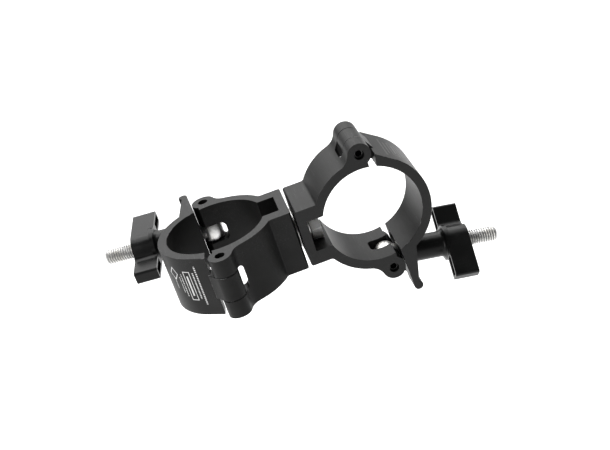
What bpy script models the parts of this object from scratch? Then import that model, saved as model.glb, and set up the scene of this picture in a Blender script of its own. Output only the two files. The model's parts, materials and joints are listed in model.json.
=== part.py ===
"""Swivel pipe clamp: two half couplers joined back to back by a swivel screw.

Each clamp is drawn in its own frame (u, v, w): u runs away from the swivel through the
tube's centre, +v is the hinge side, -v is the swing-bolt side, and w runs along the tube.
The row's origin is the centre of clamp A's tube seat: +Z is along tube A, +X is the
swivel axis towards clamp B.
"""
import math

import bmesh
import bpy
from mathutils import Matrix, Vector

for old_object in list(bpy.data.objects):
    bpy.data.objects.remove(old_object, do_unlink=True)

MM = 0.001

# ---- driving dimensions, millimetres -------------------------------------------------
BORE_RADIUS = 25.0           # seats 48 to 51 mm tube
WALL = 4.7                   # extruded wall round the tube
CLAMP_WIDTH = 32.0           # along the tube
BLOCK_REACH = 36.5           # tube centre to the block's outer face
BLOCK_HEIGHT = 30.6
BLOCK_FLOOR = 4.5            # metal between the channel and the outer face
CHANNEL_WIDTH = 16.8
BLOCK_GAP = 1.5              # between the two blocks

PIVOT_U = 2.1                # hinge and swing-bolt pins, off the tube's centre line
PIVOT_V = 32.2
KNUCKLE_RADIUS = 5.9
KNUCKLE_FILLET = 8.0
BLOCK_FILLET = 1.6
PIN_HOLE_RADIUS = 2.5
PIN_RADIUS = 2.4
PIN_WALL = 0.8
PIN_SLOT = 0.9
PIN_RECESS = 2.0
PIN_TURN = 65.0              # degrees, where the spring pins' slots point

SADDLE_LIP_U = 5.0           # where the saddle's bore ends at both sides
FLAP_END_U = 8.5             # where the flap's bore ends, hinge side
TAIL_END_U = 7.8             # the same, swing-bolt side
FLAP_END_LEAN = 8.0          # degrees, the flap's hinge end from square to the joint
FLAP_END_THICKNESS = 6.3
ARM_INSET_U = 1.2            # how far the hinge arm is rooted in the flap's end
ARM_INSET_V = 0.45
ARM_FOOT_RISE = 0.1          # keeps the arm's root above the bore
HINGE_TONGUE = 13.0          # width of the flap's middle knuckle
EYE_WIDTH = 9.4
EYE_RADIUS = 5.7
SLIDING_GAP = 0.3            # each side of a piece that turns between two others
HINGE_SLOT_U = -6.4          # where the slot through the saddle's wall starts, hinge side
EYE_SLOT_U = -5.2            # the same, swing-bolt side
SLOT_CORNER = 2.5            # radius that the milling cutter leaves in both slots

BOLT_TILT = 10.7             # degrees, bolt leaning away from the tube
BOLT_RADIUS = 4.0
BOLT_LENGTH = 58.2           # pin centre to thread end
BOLT_CHAMFER = 1.0
SHANK_ROOT = 2.85            # the shank starts inside the eye, this far from the pin
TAIL_FACE = 12.2             # pin centre to the face that the wing nut bears on
TAIL_TIP_REACH = 12.6        # from the bolt's axis to the middle of the rounded tip
TAIL_TIP_RADIUS = 2.3
TAIL_TIP_SET = 0.4           # the tip's middle lies this far below the nut's face
FORK_SLOT = 9.4
FORK_ROOT = 5.3              # slot root, from the bolt's axis towards the tube

NUT_WASHER_THICKNESS = 1.2   # loose washer between the tail and the nut
NUT_WASHER_RADIUS = 6.5
NUT_TOP = 42.4               # pin centre to the top of the hub
NUT_BOSS_RADIUS = 6.65
NUT_BOSS_CHAMFER = 0.4
NUT_FLARE = 2.4
WING_HEIGHT = 12.3
WING_REACH = 21.4
WING_THICKNESS = 6.9
WING_CORNER = 1.4
WING_FILLET = 4.0
WING_SHELL = 1.5
POCKET_ROOT = 0.5            # metal left between a pocket and the flare
HUB_RADIUS = 7.8
NUT_HOLE_CLEARANCE = 0.3
INSERT_RADIUS = 5.5
INSERT_LENGTH = 13.0
INSERT_CLEARANCE = 0.1
WING_ANGLE = {"a": 175.0, "b": 132.0}   # degrees, the wing's rest turn about its bolt

SCREW_RADIUS = 5.0           # M10 swivel screw
SCREW_HEAD_RADIUS = 8.0
SCREW_HEAD_HEIGHT = 5.0
SCREW_EDGE = 0.6             # chamfer of the head and of the thread's end
SCREW_SOCKET_WIDTH = 7.0
SCREW_SOCKET_DEPTH = 3.0
SWIVEL_WASHER_RADIUS = 10.0
THRUST_WASHER_THICKNESS = 0.8
LOCK_NUT_WIDTH = 16.0        # across flats
LOCK_NUT_HEIGHT = 5.0
NYLON_HEIGHT = 1.4
NYLON_WALL = 1.3
SCREW_HOLE_CLEARANCE = 0.3
FACE_GAP = 0.3               # between stacked flat faces

OVERRUN = 2.0                # how far a cutting tool runs past the face it cuts
ROUND_STEPS = 40             # segments in a small full circle
ARC_DEGREES = 4.5            # longest step along the large arcs

# ---- derived sizes -------------------------------------------------------------------
OUTER_RADIUS = BORE_RADIUS + WALL
HALF_WIDTH = CLAMP_WIDTH / 2
TUBE_PITCH = 2 * BLOCK_REACH + BLOCK_GAP
HINGE = Vector((PIVOT_U, PIVOT_V))
BOLT_PIN = Vector((PIVOT_U, -PIVOT_V))
BOLT_AXIS = Vector((math.cos(math.radians(BOLT_TILT)), -math.sin(math.radians(BOLT_TILT))))
BOLT_SIDE = Vector((BOLT_AXIS.y, -BOLT_AXIS.x))       # away from the tube, across the bolt
CHANNEL_FLOOR = BLOCK_REACH - BLOCK_FLOOR
TAIL_END = Vector((TAIL_END_U, -math.sqrt(BORE_RADIUS ** 2 - TAIL_END_U ** 2)))
FLAP_END = Vector((FLAP_END_U, math.sqrt(BORE_RADIUS ** 2 - FLAP_END_U ** 2)))
FLAP_END_AXIS = Vector((math.sin(math.radians(FLAP_END_LEAN)), math.cos(math.radians(FLAP_END_LEAN))))
FLAP_CORNER = FLAP_END + FLAP_END_AXIS * FLAP_END_THICKNESS

CLAMP_AXES = {
    "a": (Vector((0, 0, 0)), Vector((-1, 0, 0)), Vector((0, -1, 0)), Vector((0, 0, 1))),
    "b": (Vector((TUBE_PITCH, 0, 0)), Vector((1, 0, 0)), Vector((0, 0, 1)), Vector((0, -1, 0))),
}


# ---- outlines ------------------------------------------------------------------------
def arc(centre, radius, start, end, step=ARC_DEGREES):
    """Points from angle start to angle end, degrees, both ends included."""
    count = max(2, math.ceil(abs(end - start) / step))
    points = []
    for index in range(count + 1):
        angle = math.radians(start + (end - start) * index / count)
        points.append(Vector((centre[0] + radius * math.cos(angle),
                              centre[1] + radius * math.sin(angle))))
    return points


def angle_of(vector):
    return math.degrees(math.atan2(vector.y, vector.x))


def circle_meeting(centre_a, reach_a, centre_b, reach_b, side):
    """The point at reach_a from centre_a and reach_b from centre_b, on the given side."""
    span = centre_b - centre_a
    distance = span.length
    along = (distance ** 2 + reach_a ** 2 - reach_b ** 2) / (2 * distance)
    across = math.sqrt(max(reach_a ** 2 - along ** 2, 0.0))
    unit = span / distance
    normal = Vector((-unit.y, unit.x))
    return centre_a + unit * along + normal * across * side


def mirrored(points):
    """The same run on the -v side, in reverse order."""
    return [Vector((p.x, -p.y)) for p in reversed(points)]


def saddle_side():
    """Half the saddle's outline, +v side: block face, wall, knuckle, end and bore."""
    half_block = BLOCK_HEIGHT / 2
    chamfer = BLOCK_FILLET / 2
    outer_end = -BLOCK_REACH
    points = [Vector((outer_end, half_block - chamfer)), Vector((outer_end + chamfer, half_block))]
    # concave fillet between the block's side and the round wall
    reach = OUTER_RADIUS + BLOCK_FILLET
    height = half_block + BLOCK_FILLET
    corner = Vector((-math.sqrt(reach ** 2 - height ** 2), height))
    points += arc(corner, BLOCK_FILLET, -90, angle_of(-corner), 18)
    # round wall up to the knuckle's fillet
    fillet = circle_meeting(Vector((0, 0)), OUTER_RADIUS + KNUCKLE_FILLET,
                            HINGE, KNUCKLE_RADIUS + KNUCKLE_FILLET, 1)
    points += arc((0, 0), OUTER_RADIUS, angle_of(corner) % 360, angle_of(fillet) % 360)[1:]
    start = angle_of(-fillet)
    end = angle_of(HINGE - fillet)
    points += arc(fillet, KNUCKLE_FILLET, start, end, 9)[1:]
    # over the knuckle and down to the bore's end
    start = angle_of(fillet - HINGE) % 360
    end = -math.degrees(math.acos((SADDLE_LIP_U - PIVOT_U) / KNUCKLE_RADIUS))
    points += arc(HINGE, KNUCKLE_RADIUS, start, end, 9)[1:]
    points.append(Vector((SADDLE_LIP_U, math.sqrt(BORE_RADIUS ** 2 - SADDLE_LIP_U ** 2))))
    # bore back to the channel's mouth, then the channel to its floor
    half_channel = CHANNEL_WIDTH / 2
    start = angle_of(points[-1])
    end = 180 - math.degrees(math.asin(half_channel / BORE_RADIUS))
    points += arc((0, 0), BORE_RADIUS, start, end)[1:]
    points.append(Vector((-CHANNEL_FLOOR, half_channel)))
    return points


def saddle_outline():
    side = saddle_side()
    return side + mirrored(side)


def tail_point(along, across):
    """A point by its distance along the bolt from its pin and across it, off the tube."""
    return BOLT_PIN + BOLT_AXIS * along + BOLT_SIDE * across


def flap_outline():
    """Arc wall from the hinge end round to the tail, with a rounded tip that holds the nut."""
    points = [FLAP_END, FLAP_CORNER]
    # straight top running onto the round wall
    wall_start = angle_of(FLAP_CORNER) - math.degrees(math.acos(OUTER_RADIUS / FLAP_CORNER.length))
    # the nut's face leaves the round wall where the two meet
    face_reach = TAIL_FACE + BOLT_PIN.dot(BOLT_AXIS)
    rise = math.sqrt(OUTER_RADIUS ** 2 - face_reach ** 2)
    wall_end = BOLT_AXIS * face_reach + BOLT_SIDE * rise
    points += arc((0, 0), OUTER_RADIUS, wall_start, angle_of(wall_end))
    # round the tip and back up the inner face
    tip = BOLT_PIN + BOLT_AXIS * (TAIL_FACE - TAIL_TIP_SET) + BOLT_SIDE * TAIL_TIP_REACH
    reach = TAIL_END - tip
    start = angle_of(-BOLT_SIDE) - math.degrees(math.asin(TAIL_TIP_SET / TAIL_TIP_RADIUS))
    end = angle_of(reach) + math.degrees(math.acos(TAIL_TIP_RADIUS / reach.length)) - 360
    points += arc(tip, TAIL_TIP_RADIUS, start, end, 15)
    points.append(TAIL_END)
    points += arc((0, 0), BORE_RADIUS, angle_of(TAIL_END), angle_of(FLAP_END))[1:-1]
    return points


def hinge_arm_outline():
    """The flap's middle knuckle and the arm that carries it."""
    inset = Vector((ARM_INSET_U, -ARM_INSET_V))
    spread = math.degrees(math.acos(KNUCKLE_RADIUS / (FLAP_CORNER - HINGE).length))
    start = angle_of(FLAP_CORNER - HINGE) + spread
    foot = FLAP_END - HINGE
    end = angle_of(foot) + 360 - math.degrees(math.acos(KNUCKLE_RADIUS / foot.length))
    points = arc(HINGE, KNUCKLE_RADIUS, start, end, 9)
    return points + [FLAP_END + Vector((ARM_INSET_U, ARM_FOOT_RISE)), FLAP_CORNER + inset]


def wing_outline():
    """The wing seen along the bolt: a round hub with a lobe off each side, turned alike."""
    inner_line = HUB_RADIUS - WING_THICKNESS
    fillet_reach = HUB_RADIUS + WING_FILLET
    fillet_height = inner_line - WING_FILLET
    fillet = Vector((math.sqrt(fillet_reach ** 2 - fillet_height ** 2), fillet_height))
    outer = WING_REACH - WING_CORNER
    half = [Vector((0, HUB_RADIUS))]
    half += arc((outer, HUB_RADIUS - WING_CORNER), WING_CORNER, 90, 0, 15)
    half += arc((outer, inner_line + WING_CORNER), WING_CORNER, 0, -90, 15)
    half += arc(fillet, WING_FILLET, 90, angle_of(-fillet), 15)
    half += arc((0, 0), HUB_RADIUS, angle_of(fillet), -90, 12)[1:-1]
    outline = half + [-point for point in half]
    return [Vector((point.x, -point.y)) for point in outline]


def pocket_outline():
    """The hollow under one lobe."""
    low = WING_SHELL - HUB_RADIUS
    high = WING_THICKNESS - HUB_RADIUS - WING_SHELL
    return rectangle(NUT_BOSS_RADIUS + NUT_FLARE + POCKET_ROOT, low, WING_REACH - WING_SHELL, high)


def spring_pin_outline():
    """C-shaped section of a rolled spring pin, slot on the +u side."""
    inner_radius = PIN_RADIUS - PIN_WALL
    outer_open = math.degrees(math.asin(PIN_SLOT / 2 / PIN_RADIUS))
    inner_open = math.degrees(math.asin(PIN_SLOT / 2 / inner_radius))
    points = arc((0, 0), PIN_RADIUS, outer_open, 360 - outer_open, 12)
    return points + arc((0, 0), inner_radius, 360 - inner_open, inner_open, 12)


def circle(radius, centre=(0, 0), steps=ROUND_STEPS):
    return arc(centre, radius, 0, 360, 360 / steps)[:-1]


def rectangle(low_u, low_v, high_u, high_v):
    return [Vector((low_u, low_v)), Vector((high_u, low_v)),
            Vector((high_u, high_v)), Vector((low_u, high_v))]


def slot_outline(start, half_width):
    """A milled slot open at its +u end, with rounded corners at its start."""
    corner = start + SLOT_CORNER
    side = half_width - SLOT_CORNER
    rounded = arc((corner, side), SLOT_CORNER, 90, 180, 15) + arc((corner, -side), SLOT_CORNER, 180, 270, 15)
    return [Vector((BORE_RADIUS, half_width))] + rounded + [Vector((BORE_RADIUS, -half_width))]


# ---- solids --------------------------------------------------------------------------
def finish_mesh(name, build, smooth_angle):
    bmesh.ops.recalc_face_normals(build, faces=build.faces)
    mesh = bpy.data.meshes.new(name)
    build.to_mesh(mesh)
    build.free()
    mesh.shade_smooth()
    mesh.set_sharp_from_angle(angle=math.radians(smooth_angle))
    return mesh


def prism(name, outline, low, high, origin=(0, 0), smooth_angle=28):
    """The outline extruded along w from low to high; origin becomes the local (0, 0)."""
    build = bmesh.new()
    ring = []
    for point in outline:
        ring.append(build.verts.new(((point.x - origin[0]) * MM, (point.y - origin[1]) * MM, low * MM)))
    face = build.faces.new(ring)
    swept = bmesh.ops.extrude_face_region(build, geom=[face])
    raised = [item for item in swept["geom"] if isinstance(item, bmesh.types.BMVert)]
    bmesh.ops.translate(build, verts=raised, vec=(0, 0, (high - low) * MM))
    return finish_mesh(name, build, smooth_angle)


def turned(name, profile, steps=ROUND_STEPS, smooth_angle=35):
    """The closed profile of (along, radius) points spun round the local X axis."""
    build = bmesh.new()
    ring = [build.verts.new((along * MM, 0, radius * MM)) for along, radius in profile]
    edges = []
    for index, vert in enumerate(ring):
        other = ring[(index + 1) % len(ring)]
        if profile[index][1] > 0 or profile[(index + 1) % len(ring)][1] > 0:
            edges.append(build.edges.new((vert, other)))
    bmesh.ops.spin(build, geom=ring + edges, cent=(0, 0, 0), axis=(1, 0, 0), dvec=(0, 0, 0),
                   angle=math.tau, steps=steps, use_merge=True)
    bmesh.ops.remove_doubles(build, verts=build.verts, dist=1e-7)
    return finish_mesh(name, build, smooth_angle)


def ring(start, thickness, inner, outer):
    """The profile of a washer-like ring for turned()."""
    return [(start, inner), (start, outer), (start + thickness, outer), (start + thickness, inner)]


def empty(name, parent=None):
    holder = bpy.data.objects.new(name, None)
    bpy.context.collection.objects.link(holder)
    holder.parent = parent
    return holder


def place(name, mesh, parent, location=(0, 0, 0), turn=0.0, material=None):
    """Link a mesh under its parent: location in millimetres, turn in degrees about w."""
    piece = bpy.data.objects.new(name, mesh)
    bpy.context.collection.objects.link(piece)
    piece.parent = parent
    piece.location = Vector(location) * MM
    piece.rotation_euler = (0, 0, math.radians(turn))
    if material:
        mesh.materials.append(material)
    return piece


def cut(piece, tool, operation="DIFFERENCE"):
    """Join or cut with a hidden tool object."""
    tool.hide_render = True
    tool.display_type = "WIRE"
    modifier = piece.modifiers.new(tool.name, "BOOLEAN")
    modifier.operation = operation
    modifier.solver = "EXACT"
    modifier.object = tool


def cutter(piece, name, mesh, location=(0, 0, 0), turn=0.0, operation="DIFFERENCE"):
    cut(piece, place(name, mesh, piece.parent, location, turn), operation)


def material(name, colour, roughness, metallic):
    made = bpy.data.materials.new(name)
    made.use_nodes = True
    shader = made.node_tree.nodes["Principled BSDF"]
    shader.inputs["Base Color"].default_value = (*colour, 1)
    shader.inputs["Roughness"].default_value = roughness
    shader.inputs["Metallic"].default_value = metallic
    return made


ANODISED = material("black_anodised_aluminium", (0.030, 0.030, 0.030), 0.42, 0.6)
BLACK_CAST = material("black_coated_wing_nut", (0.018, 0.018, 0.018), 0.30, 0.0)
ZINC = material("bright_zinc_steel", (0.72, 0.72, 0.70), 0.28, 1.0)
SPRING_STEEL = material("dark_spring_steel", (0.06, 0.06, 0.06), 0.38, 1.0)
BLACK_STEEL = material("black_oxide_steel", (0.03, 0.03, 0.032), 0.35, 1.0)
NYLON = material("nylon", (0.65, 0.68, 0.72), 0.5, 0.0)


# ---- one clamp -----------------------------------------------------------------------
def make_saddle(side, frame):
    name = "saddle_" + side
    mesh = prism(name, saddle_outline(), -HALF_WIDTH, HALF_WIDTH)
    saddle = place(name, mesh, frame, material=ANODISED)
    for label, start, width, turn in (("_hinge_slot", HINGE_SLOT_U, HINGE_TONGUE, -90),
                                      ("_eye_slot", EYE_SLOT_U, EYE_WIDTH, 90)):
        outline = slot_outline(start, width / 2 + SLIDING_GAP)
        slot = prism(name + label, outline, BORE_RADIUS / 2, PIVOT_V + 2 * KNUCKLE_RADIUS)
        slot.transform(Matrix.Rotation(math.radians(turn), 4, "X"))
        cutter(saddle, name + label, slot)
    for label, pivot in (("hinge", HINGE), ("bolt", BOLT_PIN)):
        hole = prism(name + "_" + label + "_hole", circle(PIN_HOLE_RADIUS), -CLAMP_WIDTH, CLAMP_WIDTH)
        cutter(saddle, name + "_" + label + "_hole", hole, (pivot.x, pivot.y, 0))
    outside = -BLOCK_REACH - OVERRUN
    inside = -CHANNEL_FLOOR + OVERRUN
    bore = turned(name + "_screw_hole", [(outside, 0), (outside, screw_hole()),
                                         (inside, screw_hole()), (inside, 0)])
    cutter(saddle, name + "_screw_hole", bore)
    return saddle


def screw_hole():
    return SCREW_RADIUS + SCREW_HOLE_CLEARANCE


def make_flap(side, frame):
    name = "flap_" + side
    where = (HINGE.x, HINGE.y, 0)
    mesh = prism(name, flap_outline(), -HALF_WIDTH, HALF_WIDTH, HINGE)
    flap = place(name, mesh, frame, where, material=ANODISED)
    arm = prism(name + "_arm", hinge_arm_outline(), -HINGE_TONGUE / 2, HINGE_TONGUE / 2, HINGE)
    cutter(flap, name + "_arm", arm, where, operation="UNION")
    hole = prism(name + "_hole", circle(PIN_HOLE_RADIUS), -CLAMP_WIDTH, CLAMP_WIDTH)
    cutter(flap, name + "_hole", hole, where)
    reach = TAIL_TIP_REACH + 2 * TAIL_TIP_RADIUS
    slot = rectangle(0, -reach, 2 * TAIL_FACE, FORK_ROOT)
    half = FORK_SLOT / 2
    cutter(flap, name + "_fork", prism(name + "_fork", slot, -half, half),
           (BOLT_PIN.x, BOLT_PIN.y, 0), -BOLT_TILT)
    return flap


def make_pin(side, frame, label, pivot):
    name = label + "_pin_" + side
    half = HALF_WIDTH - PIN_RECESS
    mesh = prism(name, spring_pin_outline(), -half, half)
    return place(name, mesh, frame, (pivot.x, pivot.y, 0), PIN_TURN, SPRING_STEEL)


def make_swing_bolt(side, frame):
    name = "swing_bolt_" + side
    where = (BOLT_PIN.x, BOLT_PIN.y, 0)
    shank = [(SHANK_ROOT, 0), (SHANK_ROOT, BOLT_RADIUS), (BOLT_LENGTH - BOLT_CHAMFER, BOLT_RADIUS),
             (BOLT_LENGTH, BOLT_RADIUS - BOLT_CHAMFER), (BOLT_LENGTH, 0)]
    eye = prism(name, circle(EYE_RADIUS), -EYE_WIDTH / 2, EYE_WIDTH / 2)
    bolt = place(name, eye, frame, where, -BOLT_TILT, ZINC)
    cutter(bolt, name + "_shank", turned(name + "_shank", shank), where, -BOLT_TILT, "UNION")
    hole = prism(name + "_hole", circle(PIN_HOLE_RADIUS), -EYE_WIDTH, EYE_WIDTH)
    cutter(bolt, name + "_hole", hole, where, -BOLT_TILT)
    return bolt


def washer_end():
    return TAIL_FACE + FACE_GAP


def nut_end():
    return washer_end() + NUT_WASHER_THICKNESS + FACE_GAP


def make_wing_nut(side, frame):
    """Boss along the bolt with the wing on its far end; the turn at rest differs by side."""
    name = "wing_nut_" + side
    holder = empty(name + "_axis", frame)
    holder.location = Vector((BOLT_PIN.x, BOLT_PIN.y, 0)) * MM
    holder.rotation_mode = "XYZ"
    holder.rotation_euler = (0, 0, math.radians(-BOLT_TILT))
    under = NUT_TOP - WING_HEIGHT
    flared = NUT_BOSS_RADIUS + NUT_FLARE
    # the boss, flared into the wing's underside
    boss = [(nut_end(), 0), (nut_end(), NUT_BOSS_RADIUS - NUT_BOSS_CHAMFER),
            (nut_end() + NUT_BOSS_CHAMFER, NUT_BOSS_RADIUS)]
    for point in arc((under - NUT_FLARE, flared), NUT_FLARE, -90, 0, 18):
        boss.append((point.x, point.y))
    boss += [(under + OVERRUN, flared), (under + OVERRUN, 0)]
    nut = place(name, turned(name, boss), holder, material=BLACK_CAST)
    along_bolt = Matrix(((0, 0, 1, 0), (1, 0, 0, 0), (0, 1, 0, 0), (0, 0, 0, 1)))
    rest_turn = Matrix.Rotation(math.radians(WING_ANGLE[side]), 4, "X")

    def across_bolt(label, outline, low, high, operation):
        mesh = prism(name + label, outline, low, high)
        mesh.transform(rest_turn @ along_bolt)
        cutter(nut, name + label, mesh, operation=operation)

    across_bolt("_wing", wing_outline(), under, NUT_TOP, "UNION")
    pocket = pocket_outline()
    across_bolt("_pocket_0", pocket, under - OVERRUN, NUT_TOP - WING_SHELL, "DIFFERENCE")
    opposite = [-point for point in pocket]
    across_bolt("_pocket_1", opposite, under - OVERRUN, NUT_TOP - WING_SHELL, "DIFFERENCE")
    # the bolt's clearance hole and the insert's seat
    hole = BOLT_RADIUS + NUT_HOLE_CLEARANCE
    seat = INSERT_RADIUS + INSERT_CLEARANCE
    seat_end = nut_end() + INSERT_LENGTH + 2 * INSERT_CLEARANCE
    bore = [(nut_end() - OVERRUN, 0), (nut_end() - OVERRUN, seat), (seat_end, seat), (seat_end, hole),
            (NUT_TOP + OVERRUN, hole), (NUT_TOP + OVERRUN, 0)]
    cutter(nut, name + "_bore", turned(name + "_bore", bore))
    return holder


def make_nut_washer(side, holder):
    name = "wing_nut_washer_" + side
    profile = ring(washer_end(), NUT_WASHER_THICKNESS, BOLT_RADIUS + NUT_HOLE_CLEARANCE, NUT_WASHER_RADIUS)
    place(name, turned(name, profile), holder, material=BLACK_STEEL)


def make_insert(side, holder):
    name = "thread_insert_" + side
    start = nut_end() + INSERT_CLEARANCE
    hole = BOLT_RADIUS + INSERT_CLEARANCE
    profile = [(start, hole), (start, INSERT_RADIUS), (start + INSERT_LENGTH, INSERT_RADIUS),
               (start + INSERT_LENGTH, hole)]
    return place(name, turned(name, profile), holder, material=ZINC)


def make_clamp(side):
    centre, u_axis, v_axis, w_axis = CLAMP_AXES[side]
    frame = empty("clamp_" + side)
    turn = Matrix((u_axis, v_axis, w_axis)).transposed()
    frame.matrix_world = Matrix.Translation(centre * MM) @ turn.to_4x4()
    make_saddle(side, frame)
    make_flap(side, frame)
    make_pin(side, frame, "hinge", HINGE)
    make_pin(side, frame, "bolt", BOLT_PIN)
    make_swing_bolt(side, frame)
    holder = make_wing_nut(side, frame)
    make_nut_washer(side, holder)
    make_insert(side, holder)


# ---- the swivel between the clamps, turned round the world X axis ----------------------
def make_swivel():
    floor_a = CHANNEL_FLOOR
    floor_b = TUBE_PITCH - CHANNEL_FLOOR
    hole = screw_hole()
    swivel = empty("swivel_axis")
    # thrust washer and round head in clamp A's channel
    washer_start = floor_a - FACE_GAP - THRUST_WASHER_THICKNESS
    washer = ring(washer_start, THRUST_WASHER_THICKNESS, hole, SCREW_HEAD_RADIUS)
    place("thrust_washer", turned("thrust_washer", washer), swivel, material=ZINC)
    head_end = washer_start - FACE_GAP
    head_start = head_end - SCREW_HEAD_HEIGHT
    nut_washer_start = floor_b + FACE_GAP
    nut_start = nut_washer_start + THRUST_WASHER_THICKNESS + FACE_GAP
    nut_end_x = nut_start + LOCK_NUT_HEIGHT
    profile = [(head_start, 0), (head_start, SCREW_HEAD_RADIUS - SCREW_EDGE),
               (head_start + SCREW_EDGE, SCREW_HEAD_RADIUS), (head_end, SCREW_HEAD_RADIUS),
               (head_end, SCREW_RADIUS), (nut_end_x - SCREW_EDGE, SCREW_RADIUS),
               (nut_end_x, SCREW_RADIUS - SCREW_EDGE), (nut_end_x, 0)]
    screw = place("swivel_screw", turned("swivel_screw", profile), swivel, material=BLACK_STEEL)
    socket_end = head_start + SCREW_SOCKET_DEPTH
    socket = hexagon_prism("swivel_screw_socket", SCREW_SOCKET_WIDTH, head_start - OVERRUN, socket_end)
    cutter(screw, "swivel_screw_socket", socket)
    # washer between the blocks
    washer = ring(BLOCK_REACH + FACE_GAP, BLOCK_GAP - 2 * FACE_GAP, hole, SWIVEL_WASHER_RADIUS)
    place("swivel_washer", turned("swivel_washer", washer), swivel, material=ZINC)
    # washer, nut and its nylon ring in clamp B's channel
    washer = ring(nut_washer_start, THRUST_WASHER_THICKNESS, hole, SCREW_HEAD_RADIUS)
    place("lock_nut_washer", turned("lock_nut_washer", washer), swivel, material=ZINC)
    blank = hexagon_prism("lock_nut", LOCK_NUT_WIDTH, nut_start, nut_end_x)
    nut = place("lock_nut", blank, swivel, material=ZINC)
    thread = SCREW_RADIUS + INSERT_CLEARANCE
    nylon_radius = thread + NYLON_WALL
    seat = nylon_radius + INSERT_CLEARANCE
    nylon_start = nut_end_x - NYLON_HEIGHT
    seat_start = nylon_start - INSERT_CLEARANCE
    bore = [(nut_start - OVERRUN, 0), (nut_start - OVERRUN, thread), (seat_start, thread),
            (seat_start, seat), (nut_end_x + OVERRUN, seat), (nut_end_x + OVERRUN, 0)]
    cutter(nut, "lock_nut_bore", turned("lock_nut_bore", bore))
    nylon = ring(nylon_start, NYLON_HEIGHT, thread, nylon_radius)
    place("lock_nut_ring", turned("lock_nut_ring", nylon), swivel, material=NYLON)


def hexagon_prism(name, across_flats, start, end):
    """A hexagon along the world X axis with two flats square to Z."""
    corner_radius = across_flats / math.sqrt(3)
    outline = [Vector((corner_radius * math.cos(math.radians(60 * index)),
                       corner_radius * math.sin(math.radians(60 * index)))) for index in range(6)]
    mesh = prism(name, outline, start, end)
    mesh.transform(Matrix(((0, 0, 1, 0), (1, 0, 0, 0), (0, 1, 0, 0), (0, 0, 0, 1))))
    return mesh


for clamp_side in CLAMP_AXES:
    make_clamp(clamp_side)
make_swivel()
bpy.context.view_layer.update()
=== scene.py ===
"""Looks of the swivel pipe clamp: rounded extrusions, rolled threads, finishes, light and camera.

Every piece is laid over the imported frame, whose bodies carry it.
"""
import json
import math

import bmesh
import bpy
from mathutils import Matrix, Vector


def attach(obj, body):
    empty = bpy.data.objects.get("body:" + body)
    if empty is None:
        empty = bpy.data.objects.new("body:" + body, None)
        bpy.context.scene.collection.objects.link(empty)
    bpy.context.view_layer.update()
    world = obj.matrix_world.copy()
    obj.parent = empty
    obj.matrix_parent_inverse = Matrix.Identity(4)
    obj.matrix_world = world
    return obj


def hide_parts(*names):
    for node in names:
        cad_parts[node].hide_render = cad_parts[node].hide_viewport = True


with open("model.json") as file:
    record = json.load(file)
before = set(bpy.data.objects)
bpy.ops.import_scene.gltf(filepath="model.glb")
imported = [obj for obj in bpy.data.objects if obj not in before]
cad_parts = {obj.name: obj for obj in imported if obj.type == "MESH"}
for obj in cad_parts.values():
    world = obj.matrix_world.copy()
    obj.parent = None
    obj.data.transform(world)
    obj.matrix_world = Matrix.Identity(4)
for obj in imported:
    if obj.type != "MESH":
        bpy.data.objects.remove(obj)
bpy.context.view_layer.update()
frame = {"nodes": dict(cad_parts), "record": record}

MM = 0.001

# ---- sizes shared with the frame, in millimetres ---------------------------------------
TUBE_PITCH = 74.5            # tube centre to tube centre
WALL_RADIUS = 29.7
PIVOT_U = 2.1                # the swing bolt's pin, away from the swivel
PIVOT_V = 32.2               # and away from the hinge
BOLT_TILT = 10.7             # degrees
BOLT_RADIUS = 4.0
BOLT_LENGTH = 58.2
EYE_RADIUS = 5.7
EYE_WIDTH = 9.4
PIN_HOLE_RADIUS = 2.5

# ---- sizes of the finer shapes, in millimetres -----------------------------------------
EYE_RIM = 0.7
EYE_HOLE_RIM = 0.3
BOLT_PITCH = 1.25
THREAD_START = 13.0
THREAD_LEAD = 0.6            # the thread's skin starts this far before the thread
THREAD_END_INSET = 0.65      # and stops this far before the bolt's end
THREAD_DEPTH = 0.68
THREAD_CHAMFER = 0.85
THREAD_SIDES = 48
THREAD_ROWS_PER_TURN = 8
GROOVE_SHADE_TOP = 0.12            # painted shade in the thread grooves starts this deep below the crest
GROOVE_SHADE_FADE = 0.45           # and is darkest this much deeper
GROOVE_SHADE_END = 0.5             # the bolt's end gets no painted groove shade over this length
MERGE_DISTANCE = 0.002
FLAT_ANGLE = 0.6             # degrees between faces that count as one flat
CORNER_ANGLE = 24.0          # degrees past which an edge is rounded
ROUNDING_SEGMENTS = 2
SHARP_ANGLE = 44             # degrees past which an edge is shaded sharp
BOLT_SHARP_ANGLE = 50

# ---- printed marks, in millimetres -----------------------------------------------------
# rows: place round the wall, half length, height and bar pitch along the tube
PRINT_ROWS = ((29.9, 11.0, 0.85, 1.0), (27.9, 7.4, 0.8, 0.85), (20.1, 6.4, 0.7, 1.1),
              (18.4, 4.6, 0.6, 0.8), (14.2, 3.0, 0.6, 0.9))
PRINT_TAG_ARC = 24.0
PRINT_LOZENGE_ARC = 14.8
PRINT_LOZENGE_W = 6.6
PRINT_SOFT = 0.10            # blur of the marks' edges
PRINT_STRENGTH = {"a": 0.7, "b": 0.10}

# ---- stage, in metres and degrees ------------------------------------------------------
CAMERA_AIM = Vector((0.0420, -0.0019, 0.0003))
CAMERA_DISTANCE = 0.640
CAMERA_AZIMUTH = -3.0        # round from the front
CAMERA_ELEVATION = 26.5
CAMERA_ROLL = 19.0           # the object's swivel axis rises to the right
CAMERA_LENS = 76.17          # on a 36 mm sensor
FLOOR_HEIGHT = -0.30
FLOOR_SIZE = 60.0
FLOOR_GLOW = 0.64            # a lit floor, pale from behind too
WORLD_STRENGTH = 0.13

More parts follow.
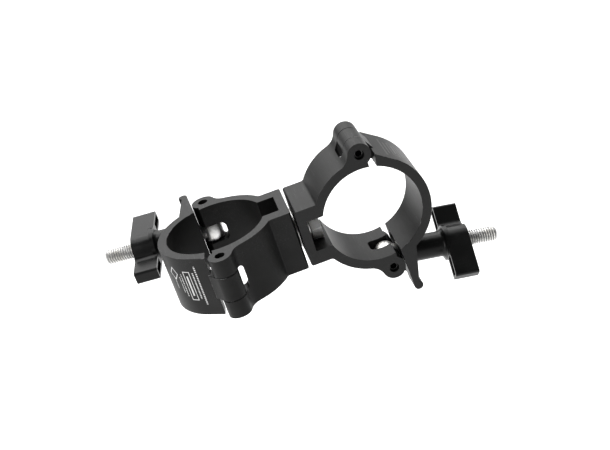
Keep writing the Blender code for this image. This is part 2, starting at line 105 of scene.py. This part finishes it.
# soft lights: name, place, aim, size and power in watts
LIGHTS = (
    ("top_box", (0.05, 0.35, 0.95), (0.05, 0.05, 0.0), (1.1, 0.9), 10.5),
    ("back_box", (0.0, 1.6, 0.9), (0.0, 1.2, FLOOR_HEIGHT), (3.0, 1.6), 30.0),
    ("left_strip", (-0.85, -0.55, 0.35), (0.0, 0.0, 0.0), (0.45, 0.9), 7.5),
    ("right_strip", (0.9, 0.75, 0.35), (0.04, 0.0, 0.0), (0.45, 0.9), 4.0),
)

# the frame's axis that each clamp's extrusions run along
BAR_AXIS = {"a": 2, "b": 1}

# each clamp's own axes: centre, away from the swivel, hinge side, along the tube
CLAMP_AXES = {
    "a": (Vector((0, 0, 0)), Vector((-1, 0, 0)), Vector((0, -1, 0)), Vector((0, 0, 1))),
    "b": (Vector((TUBE_PITCH, 0, 0)), Vector((1, 0, 0)), Vector((0, 0, 1)), Vector((0, -1, 0))),
}


def clamp_matrix(side):
    """Clamp coordinates in millimetres to the row frame in metres."""
    centre, u_axis, v_axis, w_axis = CLAMP_AXES[side]
    turn = Matrix((u_axis, v_axis, w_axis)).transposed().to_4x4()
    return Matrix.Scale(MM, 4) @ Matrix.Translation(centre) @ turn


def bolt_matrix(side):
    """Coordinates along the swing bolt (x), towards the tube (y) and along the tube (z)."""
    pivot = Matrix.Translation(Vector((PIVOT_U, -PIVOT_V, 0)))
    return clamp_matrix(side) @ pivot @ Matrix.Rotation(math.radians(-BOLT_TILT), 4, "Z")


# ---- node arithmetic -------------------------------------------------------------------
class Signal:
    """A node socket that Python's arithmetic works on."""

    def __init__(self, tree, socket):
        self.tree = tree
        self.socket = socket

    def _math(self, operation, *values):
        node = self.tree.nodes.new("ShaderNodeMath")
        node.operation = operation
        for slot, value in zip(node.inputs, values):
            feed(self.tree, slot, value)
        return Signal(self.tree, node.outputs[0])

    def __add__(self, other):
        return self._math("ADD", self, other)

    def __radd__(self, other):
        return self._math("ADD", other, self)

    def __sub__(self, other):
        return self._math("SUBTRACT", self, other)

    def __rsub__(self, other):
        return self._math("SUBTRACT", other, self)

    def __mul__(self, other):
        return self._math("MULTIPLY", self, other)

    def __rmul__(self, other):
        return self._math("MULTIPLY", other, self)

    def __truediv__(self, other):
        return self._math("DIVIDE", self, other)

    def apply(self, operation, *others):
        return self._math(operation, self, *others)

    def step(self, low, high):
        """0 below low, 1 above high, straight between."""
        ramp = (self - low) / (high - low)
        return ramp.apply("MAXIMUM", 0.0).apply("MINIMUM", 1.0)

    def inside(self, centre, half, soft):
        """1 within half of the centre, fading over soft."""
        return 1 - (self - centre).apply("ABSOLUTE").step(half - soft, half + soft)


def feed(tree, slot, value):
    """Link a signal to a socket, or set a plain value on it."""
    if isinstance(value, Signal):
        tree.links.new(value.socket, slot)
    else:
        slot.default_value = value


def add_node(tree, kind, settings=None, **sockets):
    """One node: its settings first, then its sockets by name (spaces as underscores)."""
    node = tree.nodes.new(kind)
    for key, value in (settings or {}).items():
        setattr(node, key, value)
    for key, value in sockets.items():
        feed(tree, node.inputs[key.replace("_", " ")], value)
    return node


def out(tree, node, name=0):
    """A node's output as a signal, by index or name."""
    return Signal(tree, node.outputs[name])


# ---- finishes --------------------------------------------------------------------------
class Finish:
    """A Principled material whose detail is written as arithmetic on Object coordinates."""

    def __init__(self, name, metallic=0.0, specular=0.5, coat=0.0, coat_roughness=0.1):
        self.material = bpy.data.materials.new(name)
        self.material.use_nodes = True
        self.tree = self.material.node_tree
        self.shader = self.tree.nodes["Principled BSDF"]
        self.shader.inputs["Metallic"].default_value = metallic
        self.shader.inputs["Specular IOR Level"].default_value = specular
        self.shader.inputs["Coat Weight"].default_value = coat
        self.shader.inputs["Coat Roughness"].default_value = coat_roughness
        coordinates = add_node(self.tree, "ShaderNodeTexCoord")
        self.place = out(self.tree, coordinates, "Object")

    def node(self, kind, settings=None, **sockets):
        return add_node(self.tree, kind, settings, **sockets)

    def axes(self):
        split = self.node("ShaderNodeSeparateXYZ", Vector=self.place)
        return [out(self.tree, split, index) for index in range(3)]

    def stretched(self, scale, turn=(0, 0, 0)):
        node = self.node("ShaderNodeMapping", Vector=self.place, Scale=scale, Rotation=turn)
        return out(self.tree, node)

    def noise(self, scale, detail=3.0, roughness=0.5, place=None):
        node = self.node("ShaderNodeTexNoise", Vector=place or self.place, Scale=scale,
                         Detail=detail, Roughness=roughness)
        return out(self.tree, node)

    def cells(self, scale):
        node = self.node("ShaderNodeTexVoronoi", Vector=self.place, Scale=scale)
        return out(self.tree, node, "Distance")

    def attribute(self, name):
        node = self.node("ShaderNodeAttribute", {"attribute_name": name})
        return out(self.tree, node, "Fac")

    def mix(self, factor, first, second):
        node = self.node("ShaderNodeMix", {"data_type": "RGBA"})
        # a Mix node's colours are its inputs 6 and 7, and its output 2
        for slot, value in ((node.inputs[0], factor), (node.inputs[6], first), (node.inputs[7], second)):
            feed(self.tree, slot, value)
        return out(self.tree, node, 2)

    def set(self, name, value):
        feed(self.tree, self.shader.inputs[name], value)

    def bump(self, height, distance, strength=1.0):
        node = self.node("ShaderNodeBump", Height=height, Distance=distance, Strength=strength)
        self.tree.links.new(node.outputs[0], self.shader.inputs["Normal"])


def grey(value, tint=(1.0, 1.0, 1.0)):
    """A grey, or one with a slight tint, as a colour with alpha."""
    return (value * tint[0], value * tint[1], value * tint[2], 1.0)


def scratches(finish, angle, scale, thin):
    """Sparse thin lines, all lying near one angle."""
    place = finish.stretched((scale, scale * 0.02, scale), (angle * 0.7, angle, angle * 1.3))
    return finish.noise(1.0, 2.0, 0.4, place).inside(0.5, thin, thin * 0.6)


def drawn_scale(axis, others, lengthways):
    """A texture scale with one axis apart from the two others."""
    scale = [others, others, others]
    scale[axis] = lengthways
    return tuple(scale)


def anodised(name, along, print_side=None):
    """Satin black anodised extrusion: die lines, sawn ends, scratches, and bright edges that are partly real
    wear and partly painted highlight.
    """
    base_metal = 0.55
    finish = Finish(name, metallic=base_metal, specular=0.28)
    die_lines = finish.noise(1.0, 2.0, 0.5, finish.stretched(drawn_scale(along, 2600.0, 26.0)))
    bands = finish.noise(1.0, 1.0, 0.5, finish.stretched(drawn_scale(along, 420.0, 9.0)))
    cloud = finish.noise(38.0, 4.0, 0.6)
    grain = finish.noise(5200.0, 2.0, 0.6)
    cut = finish.attribute("cut")
    edge = finish.attribute("edge")
    # rounded edges painted lighter and more metallic in patches: partly real edge wear, partly painted
    # highlight
    wear_and_highlight = edge * finish.noise(230.0, 4.0, 0.65).step(0.50, 0.66)
    rub = scratches(finish, 0.6, 900.0, 0.006) * finish.noise(60.0, 2.0).step(0.5, 0.62)
    nick = scratches(finish, 2.1, 700.0, 0.005) * finish.noise(45.0, 2.0).step(0.52, 0.64)
    marks = (rub + nick).apply("MINIMUM", 1.0)
    body = finish.mix(cloud.step(0.3, 0.7), grey(0.019, (1.0, 1.0, 0.98)), grey(0.029, (1.0, 1.0, 0.99)))
    body = finish.mix(cut * 0.6, body, grey(0.048))
    body = finish.mix((wear_and_highlight * 0.6 + marks * 0.10).apply("MINIMUM", 1.0), body, grey(0.26))
    roughness = 0.37 + cloud * 0.08 + die_lines * 0.06 + cut * 0.06 - wear_and_highlight * 0.08
    metallic = base_metal + wear_and_highlight * 0.4
    if print_side:
        ink = print_mask(finish, print_side)
        body = finish.mix(ink, body, grey(0.80))
        roughness = roughness + ink * 0.15
        metallic = metallic * (1 - ink)
    finish.set("Base Color", body)
    finish.set("Roughness", roughness)
    finish.set("Metallic", metallic)
    # saw marks run straight across the sawn end
    saw_scale = drawn_scale((along + 1) % 3, 90.0, 2600.0)
    saw = finish.noise(1.0, 2.0, 0.5, finish.stretched(saw_scale, (0.3, 0.3, 0.3)))
    relief = (die_lines * 0.5 + bands * 0.6) * (1 - cut) + saw * cut * 0.5 + grain * 0.35
    finish.bump(relief, 0.00004, 0.55)
    return finish.material


def print_mask(finish, side):
    """Screen-printed plain marks on the flap: rows of short bars, an outlined tag and a lozenge."""
    centre, u_axis, v_axis, w_axis = CLAMP_AXES[side]
    x, y, z = finish.axes()
    place = [x - centre.x * MM, y - centre.y * MM, z - centre.z * MM]

    def along_axis(axis):
        index = max(range(3), key=lambda item: abs(axis[item]))
        return place[index] * (1.0 if axis[index] > 0 else -1.0)

    u, v, w = along_axis(u_axis), along_axis(v_axis), along_axis(w_axis)
    radius = (u * u + v * v).apply("SQRT")
    arc = v.apply("ARCTAN2", u) * (WALL_RADIUS * MM)
    outside = radius.step((WALL_RADIUS - 0.6) * MM, (WALL_RADIUS - 0.3) * MM)
    soft = PRINT_SOFT * MM
    marks = []
    # rows of short bars, each row running along the tube
    for row, (row_arc, reach, height, gap) in enumerate(PRINT_ROWS):
        line = arc.inside(row_arc * MM, height * MM / 2, soft)
        pattern = w / (gap * MM) + 0.37 * row + (w / (gap * 2.7 * MM)).apply("SINE") * 0.35
        bars = pattern.apply("FRACT").inside(0.45, 0.33, 0.08)
        marks.append(line * bars * w.inside(0.7 * MM, reach * MM, soft))
    # an outlined tag with one plain bar in it
    across = arc - PRINT_TAG_ARC * MM
    outer = across.inside(0.0, 2.1 * MM, soft) * w.inside(0.6 * MM, 8.2 * MM, soft)
    inner = across.inside(0.0, 1.65 * MM, soft) * w.inside(0.6 * MM, 7.75 * MM, soft)
    marks.append(outer - inner + across.inside(0.0, 0.5 * MM, soft) * w.inside(0.6 * MM, 5.6 * MM, soft))
    # the outline of a lozenge
    round_wall = (arc - PRINT_LOZENGE_ARC * MM).apply("ABSOLUTE")
    along_tube = (w - PRINT_LOZENGE_W * MM).apply("ABSOLUTE") * 0.8
    marks.append((round_wall + along_tube).inside(2.7 * MM, 0.35 * MM, soft))
    mask = marks[0]
    for mark in marks[1:]:
        mask = mask.apply("MAXIMUM", mark)
    worn = finish.noise(900.0, 3.0, 0.6).step(0.26, 0.42)
    return mask * outside * worn * PRINT_STRENGTH[side]


def zinc(name, metal, base_roughness):
    """Zinc plate: faint cloudy passivation, fine pits, handling marks and painted shade in the thread
    grooves.
    """
    finish = Finish(name, metallic=1.0)
    cloud = finish.noise(160.0, 4.0, 0.6)
    pits = finish.cells(2600.0).step(0.05, 0.22)
    painted_groove_shade = finish.attribute("painted_groove_shade")
    rub = scratches(finish, 1.1, 1500.0, 0.008)
    warm = finish.mix(cloud.step(0.35, 0.7), grey(metal), grey(metal * 0.86, (1.0, 0.98, 0.93)))
    plated = finish.mix(1 - pits, warm, grey(metal * 0.65))
    # painted shade: the thread grooves turn a darker grey
    finish.set("Base Color", finish.mix(painted_groove_shade, plated, grey(0.36)))
    finish.set("Roughness", base_roughness + cloud * 0.14 + rub * 0.1 + painted_groove_shade * 0.15)
    finish.bump(cloud * 0.5 + pits * 0.4 + rub * 0.3, 0.00003, 0.4)
    return finish.material


def moulded_black(name):
    """Glossy black moulding: slight orange peel, faint scratches, and lighter edges that are partly rubbed
    wear and partly painted highlight.
    """
    finish = Finish(name, specular=0.22, coat=0.10, coat_roughness=0.18)
    peel = finish.noise(700.0, 2.0, 0.5)
    cloud = finish.noise(90.0, 3.0, 0.5)
    edge = finish.attribute("edge")
    # rounded edges painted lighter in patches: partly rubbed wear, partly painted highlight
    rubbed_and_highlight = edge * finish.noise(420.0, 3.0, 0.6).step(0.48, 0.68)
    line = scratches(finish, 0.9, 1100.0, 0.006) * cloud.step(0.48, 0.6)
    colour = finish.mix(cloud.step(0.3, 0.7), grey(0.007), grey(0.011, (1.0, 1.02, 1.0)))
    colour = finish.mix((rubbed_and_highlight * 0.35 + line * 0.3).apply("MINIMUM", 1.0), colour, grey(0.085))
    finish.set("Base Color", colour)
    finish.set("Roughness", 0.26 + cloud * 0.10 + rubbed_and_highlight * 0.12 + line * 0.2)
    finish.bump(peel * 0.6 + line * 0.3, 0.00005, 0.35)
    return finish.material


def dark_steel(name, base, base_roughness):
    """Oiled dark steel, slightly cloudy and grained, with a few bright rubs on its edges."""
    finish = Finish(name, metallic=1.0)
    cloud = finish.noise(300.0, 4.0, 0.6)
    edge = finish.attribute("edge")
    bright = edge * finish.noise(600.0, 3.0, 0.6).step(0.5, 0.66)
    oiled = finish.mix(cloud, grey(base), grey(base * 1.6))
    finish.set("Base Color", finish.mix(bright * 0.6, oiled, grey(0.4)))
    finish.set("Roughness", base_roughness + cloud * 0.15)
    finish.bump(finish.noise(3000.0, 2.0) * 0.6 + cloud * 0.4, 0.00003, 0.5)
    return finish.material


def nylon(name):
    """Milky nylon locking ring, slightly cloudy, with a faint moulded grain."""
    finish = Finish(name, specular=0.45)
    finish.shader.inputs["Subsurface Weight"].default_value = 0.2
    cloud = finish.noise(240.0, 3.0, 0.5)
    finish.set("Base Color", finish.mix(cloud, grey(0.55, (0.95, 1.0, 1.06)), grey(0.7, (0.96, 1.0, 1.03))))
    finish.set("Roughness", 0.42 + cloud * 0.15)
    finish.bump(finish.noise(2200.0, 2.0), 0.00004, 0.4)
    return finish.material


# ---- meshes ----------------------------------------------------------------------------
BODY_OF = {node: body for body, nodes in frame["record"]["behaviour"]["bodies"].items()
           for node in nodes}


def piece_from(name, mesh, nodes, material):
    """Link a finished mesh in place of its CAD nodes, riding on their body."""
    piece = bpy.data.objects.new(name, mesh)
    bpy.context.scene.collection.objects.link(piece)
    mesh.materials.clear()
    mesh.materials.append(material)
    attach(piece, BODY_OF[nodes[0]])
    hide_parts(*nodes)
    return piece


def finished(mesh):
    """Weighted normals worked into the mesh, so that flats stay flat beside rounded edges."""
    holder = bpy.data.objects.new("holder", mesh)
    bpy.context.scene.collection.objects.link(holder)
    modifier = holder.modifiers.new("normals", "WEIGHTED_NORMAL")
    modifier.keep_sharp = True
    graph = bpy.context.evaluated_depsgraph_get()
    made = bpy.data.meshes.new_from_object(holder.evaluated_get(graph), preserve_all_data_layers=True,
                                           depsgraph=graph)
    bpy.data.objects.remove(holder, do_unlink=True)
    return made


def rounded_copy(node, width, along=None):
    """A CAD node's shape with its edges rounded; edges and sawn ends are marked for the finish."""
    build = bmesh.new()
    build.from_mesh(frame["nodes"][node].data)
    bmesh.ops.remove_doubles(build, verts=build.verts, dist=MERGE_DISTANCE * MM)
    bmesh.ops.dissolve_limit(build, angle_limit=math.radians(FLAT_ANGLE), verts=build.verts,
                             edges=build.edges)
    edge_layer = build.loops.layers.float.new("edge")
    cut_layer = build.loops.layers.float.new("cut")
    sharp = [edge for edge in build.edges
             if len(edge.link_faces) == 2 and math.degrees(edge.calc_face_angle(0.0)) > CORNER_ANGLE]
    rounded = bmesh.ops.bevel(build, geom=sharp, offset=width * MM, offset_type="OFFSET",
                              segments=ROUNDING_SEGMENTS, profile=0.5, affect="EDGES",
                              clamp_overlap=True, material=-1)
    worn = set(rounded["faces"])
    for face in build.faces:
        is_cut = along is not None and abs(face.normal[along]) > 0.97
        for loop in face.loops:
            loop[edge_layer] = 1.0 if face in worn and not is_cut else 0.0
            loop[cut_layer] = 1.0 if is_cut else 0.0
    bmesh.ops.triangulate(build, faces=[face for face in build.faces if len(face.verts) > 4])
    mesh = bpy.data.meshes.new(node + "_rounded")
    build.to_mesh(mesh)
    build.free()
    mesh.shade_smooth()
    mesh.set_sharp_from_angle(angle=math.radians(SHARP_ANGLE))
    return finished(mesh)


def turned(profile, steps=64):
    """A closed profile of (along, radius) points spun round the local X axis."""
    build = bmesh.new()
    rings = []
    for along, radius in profile:
        ring = []
        for index in range(steps if radius > 0 else 1):
            angle = math.tau * index / steps
            ring.append(build.verts.new((along, radius * math.cos(angle), radius * math.sin(angle))))
        rings.append(ring)
    for number, ring in enumerate(rings):
        other = rings[(number + 1) % len(rings)]
        if len(ring) == 1 and len(other) == 1:
            continue
        for index in range(steps):
            after = (index + 1) % steps
            corners = [ring[index % len(ring)], other[index % len(other)],
                       other[after % len(other)], ring[after % len(ring)]]
            unique = list(dict.fromkeys(corners))
            build.faces.new(unique)
    bmesh.ops.recalc_face_normals(build, faces=build.faces)
    mesh = bpy.data.meshes.new("turned")
    build.to_mesh(mesh)
    build.free()
    return mesh


def thread_tree():
    """Geometry Nodes: a rolled thread as one skin, crest and root flattened, end chamfered."""
    tree = bpy.data.node_groups.new("rolled_thread", "GeometryNodeTree")
    for name, kind in (("Geometry", "NodeSocketGeometry"), ("Length", "NodeSocketFloat"),
                       ("Pitch", "NodeSocketFloat"), ("Major Radius", "NodeSocketFloat"),
                       ("Depth", "NodeSocketFloat"), ("Chamfer", "NodeSocketFloat"),
                       ("Sides", "NodeSocketInt"), ("Rows", "NodeSocketInt"),
                       ("Material", "NodeSocketMaterial")):
        tree.interface.new_socket(name, in_out="INPUT", socket_type=kind)
    tree.interface.new_socket("Geometry", in_out="OUTPUT", socket_type="NodeSocketGeometry")
    start = tree.nodes.new("NodeGroupInput")
    given = {socket.name: Signal(tree, socket) for socket in start.outputs if socket.name}
    grid = add_node(tree, "GeometryNodeMeshGrid", Size_X=1.0, Size_Y=given["Length"],
                    Vertices_X=given["Sides"] + 1, Vertices_Y=given["Rows"])
    position = out(tree, add_node(tree, "GeometryNodeInputPosition"))
    split = add_node(tree, "ShaderNodeSeparateXYZ", Vector=position)
    turn = out(tree, split, 0) + 0.5
    along = out(tree, split, 1) + given["Length"] / 2
    phase = (along / given["Pitch"] - turn + 100.0).apply("FRACT")
    ridge = ((phase - 0.5).apply("ABSOLUTE") * 2).step(0.14, 0.88)
    radius = given["Major Radius"] - given["Depth"] * (1 - ridge)
    limit = given["Major Radius"] - given["Chamfer"] + (given["Length"] - along)
    radius = radius.apply("MINIMUM", limit)
    run_out = given["Major Radius"] - given["Depth"] + along * 0.6
    radius = radius.apply("MINIMUM", run_out)
    angle = turn * math.tau
    place = add_node(tree, "ShaderNodeCombineXYZ", X=along, Y=radius * angle.apply("COSINE"),
                     Z=radius * angle.apply("SINE"))
    moved = add_node(tree, "GeometryNodeSetPosition", Geometry=out(tree, grid), Position=out(tree, place))
    joined = add_node(tree, "GeometryNodeMergeByDistance", Geometry=out(tree, moved), Distance=0.001)
    flipped = add_node(tree, "GeometryNodeFlipFaces", Mesh=out(tree, joined))
    real = add_node(tree, "GeometryNodeRealizeInstances", Geometry=out(tree, flipped))
    dressed = add_node(tree, "GeometryNodeSetMaterial", Geometry=out(tree, real), Material=given["Material"])
    end = tree.nodes.new("NodeGroupOutput")
    tree.links.new(dressed.outputs[0], end.inputs[0])
    return tree


def thread_mesh(tree, material):
    """The swing bolt's thread as a skin along local X, in millimetres."""
    length = BOLT_LENGTH - THREAD_END_INSET - (THREAD_START - THREAD_LEAD)
    holder = bpy.data.objects.new("thread", bpy.data.meshes.new("thread"))
    bpy.context.scene.collection.objects.link(holder)
    modifier = holder.modifiers.new("thread", "NODES")
    modifier.node_group = tree
    values = {"Length": length, "Pitch": BOLT_PITCH, "Major Radius": BOLT_RADIUS, "Depth": THREAD_DEPTH,
              "Chamfer": THREAD_CHAMFER, "Sides": THREAD_SIDES,
              "Rows": int(length / BOLT_PITCH * THREAD_ROWS_PER_TURN), "Material": material}
    for item in tree.interface.items_tree:
        if item.in_out == "INPUT" and item.name in values:
            modifier[item.identifier] = values[item.name]
    graph = bpy.context.evaluated_depsgraph_get()
    graph.update()
    mesh = bpy.data.meshes.new_from_object(holder.evaluated_get(graph), depsgraph=graph)
    bpy.data.objects.remove(holder, do_unlink=True)
    mesh.transform(Matrix.Translation((THREAD_START - THREAD_LEAD, 0, 0)))
    return mesh


def joined(name, meshes):
    """Several meshes made one, open ends closed."""
    build = bmesh.new()
    for mesh in meshes:
        build.from_mesh(mesh)
    bmesh.ops.holes_fill(build, edges=[edge for edge in build.edges if edge.is_boundary])
    made = bpy.data.meshes.new(name)
    build.to_mesh(made)
    build.free()
    made.shade_smooth()
    made.set_sharp_from_angle(angle=math.radians(BOLT_SHARP_ANGLE))
    return made


# ---- pieces ----------------------------------------------------------------------------
def eye_mesh():
    """The bolt's eye: a drilled barrel with rounded rims, as a ring turned about the pin."""
    half = EYE_WIDTH / 2
    middle = EYE_RIM * 0.3       # a rim's middle point, measured in from both faces
    hole = PIN_HOLE_RADIUS
    profile = [(-half, hole + EYE_HOLE_RIM), (-half, EYE_RADIUS - EYE_RIM),
               (-half + middle, EYE_RADIUS - middle), (-half + EYE_RIM, EYE_RADIUS),
               (half - EYE_RIM, EYE_RADIUS), (half - middle, EYE_RADIUS - middle),
               (half, EYE_RADIUS - EYE_RIM), (half, hole + EYE_HOLE_RIM),
               (half - EYE_HOLE_RIM, hole), (-half + EYE_HOLE_RIM, hole)]
    mesh = turned(profile, 72)
    mesh.transform(Matrix.Rotation(math.radians(90), 4, "Y"))
    return mesh


def make_swing_bolt(side, tree, material):
    """Eye, plain neck and rolled thread."""
    root = BOLT_RADIUS - THREAD_DEPTH
    inner_end = EYE_RADIUS * 0.55
    # the core: a tapering neck, a plain length under the thread and a chamfered end
    neck = [(inner_end, 0), (inner_end, 4.9), (EYE_RADIUS + 0.6, 4.35), (EYE_RADIUS + 2.2, 3.95),
            (THREAD_START - 1.6, 3.9), (THREAD_START, root), (BOLT_LENGTH - 0.9, root),
            (BOLT_LENGTH - 0.15, root - 0.35), (BOLT_LENGTH, root - 0.6), (BOLT_LENGTH, 0)]
    mesh = joined("swing_bolt_" + side, [eye_mesh(), turned(neck), thread_mesh(tree, material)])
    # painted shade for the thread grooves, darker the deeper a point lies below the crest
    shade = mesh.attributes.new("painted_groove_shade", "FLOAT", "POINT")
    for vertex, point in zip(mesh.vertices, shade.data):
        x, y, z = vertex.co
        depth = (BOLT_RADIUS - GROOVE_SHADE_TOP - math.hypot(y, z)) / GROOVE_SHADE_FADE
        threaded = THREAD_START < x < BOLT_LENGTH - GROOVE_SHADE_END
        point.value = min(1.0, max(0.0, depth)) if threaded else 0.0
    mesh.transform(bolt_matrix(side))
    piece_from("eye_bolt_" + side, mesh, ["swing_bolt_" + side], material)


def make_stage():
    """A broad pale floor that glows a little."""
    floor_material = Finish("pale_floor", specular=0.2)
    floor_material.set("Base Color", floor_material.mix(floor_material.noise(4.0), grey(0.50), grey(0.53)))
    floor_material.set("Roughness", 0.85)
    floor_material.set("Emission Color", grey(1.0))
    floor_material.set("Emission Strength", FLOOR_GLOW)
    bpy.ops.mesh.primitive_plane_add(size=FLOOR_SIZE, location=(0.0, 0.0, FLOOR_HEIGHT))
    floor = bpy.context.object
    floor.name = "floor"
    floor.data.materials.append(floor_material.material)


def area_light(name, place, aim, size, power):
    """A white rectangular light, turned to its aim."""
    lamp = bpy.data.lights.new(name, "AREA")
    lamp.shape = "RECTANGLE"
    lamp.size, lamp.size_y = size
    lamp.energy = power
    holder = bpy.data.objects.new(name, lamp)
    bpy.context.scene.collection.objects.link(holder)
    holder.location = place
    holder.rotation_euler = (Vector(aim) - Vector(place)).to_track_quat("-Z", "Y").to_euler()


def make_camera():
    """The camera, turned about its own line of sight by the roll."""
    azimuth, elevation = math.radians(CAMERA_AZIMUTH), math.radians(CAMERA_ELEVATION)
    back = Vector((math.sin(azimuth) * math.cos(elevation), -math.cos(azimuth) * math.cos(elevation),
                   math.sin(elevation)))
    right = Vector((0, 0, 1)).cross(back).normalized()
    upright = back.cross(right)
    turn = Matrix.Rotation(math.radians(-CAMERA_ROLL), 3, back)
    right, upright = turn @ right, turn @ upright
    camera = bpy.data.objects.new("camera", bpy.data.cameras.new("camera"))
    camera.data.sensor_width = 36.0
    camera.data.lens = CAMERA_LENS
    camera.data.clip_start = 0.01
    pose = Matrix((right, upright, back)).transposed().to_4x4()
    camera.matrix_world = Matrix.Translation(CAMERA_AIM + back * CAMERA_DISTANCE) @ pose
    bpy.context.scene.collection.objects.link(camera)
    bpy.context.scene.camera = camera


def make_light():
    """A faint white world and the soft lights, shown with a little more contrast."""
    world = bpy.data.worlds.new("studio")
    bpy.context.scene.world = world
    world.use_nodes = True
    background = world.node_tree.nodes["Background"]
    background.inputs["Color"].default_value = (1.0, 1.0, 1.0, 1.0)
    background.inputs["Strength"].default_value = WORLD_STRENGTH
    for light in LIGHTS:
        area_light(*light)
    bpy.context.scene.view_settings.view_transform = "Standard"
    bpy.context.scene.view_settings.look = "Medium High Contrast"


def make_object():
    """Every piece of both clamps, then the swivel's own."""
    bright_zinc = zinc("bright_zinc_plate", 0.90, 0.36)
    # the lock nut's zinc, painted lighter to make up for the shade it sits in: painted light
    painted_light_zinc = zinc("satin_zinc_plate_painted_light", 0.95, 0.5)
    dull_zinc = zinc("dull_zinc_plate", 0.7, 0.34)
    moulding = moulded_black("black_moulding")
    spring = dark_steel("spring_steel", 0.05, 0.36)
    oxide = dark_steel("black_oxide", 0.025, 0.34)
    milky = nylon("milky_nylon")
    tree = thread_tree()
    for side, along in BAR_AXIS.items():
        satin = anodised("satin_black_" + side, along)
        printed = anodised("satin_black_printed_" + side, along, side)
        # CAD node, piece, rounding in millimetres, axis of the bar, slot and finish
        for node, piece, width, bar, slot, material in (
                ("saddle_", "saddle_extrusion_", 0.3, along, "anodised_aluminium", satin),
                ("flap_", "flap_extrusion_", 0.3, along, "anodised_aluminium", printed),
                ("wing_nut_", "wing_knob_", 0.4, None, "wing_nut_black", moulding),
                ("hinge_pin_", "spring_hinge_pin_", 0.12, None, "spring_steel", spring),
                ("bolt_pin_", "spring_bolt_pin_", 0.12, None, "spring_steel", spring),
                ("wing_nut_washer_", "nut_washer_", 0.2, None, "black_steel", oxide),
                ("thread_insert_", "nut_insert_", 0.2, None, "zinc_steel", dull_zinc)):
            mesh = rounded_copy(node + side, width, bar)
            piece_from(piece + side, mesh, [node + side], material)
        make_swing_bolt(side, tree, bright_zinc)
    for node, width, material, slot in (("swivel_screw", 0.4, oxide, "black_steel"),
                                        ("swivel_washer", 0.2, dull_zinc, "zinc_steel"),
                                        ("thrust_washer", 0.15, dull_zinc, "zinc_steel"),
                                        ("lock_nut_washer", 0.15, dull_zinc, "zinc_steel"),
                                        # the lock nut's zinc is painted lighter against the shade it sits in
                                        ("lock_nut", 0.3, painted_light_zinc, "zinc_steel"),
                                        ("lock_nut_ring", 0.2, milky, "nylon")):
        piece_from(node + "_finished", rounded_copy(node, width), [node], material)


make_object()
make_stage()
make_light()
make_camera()
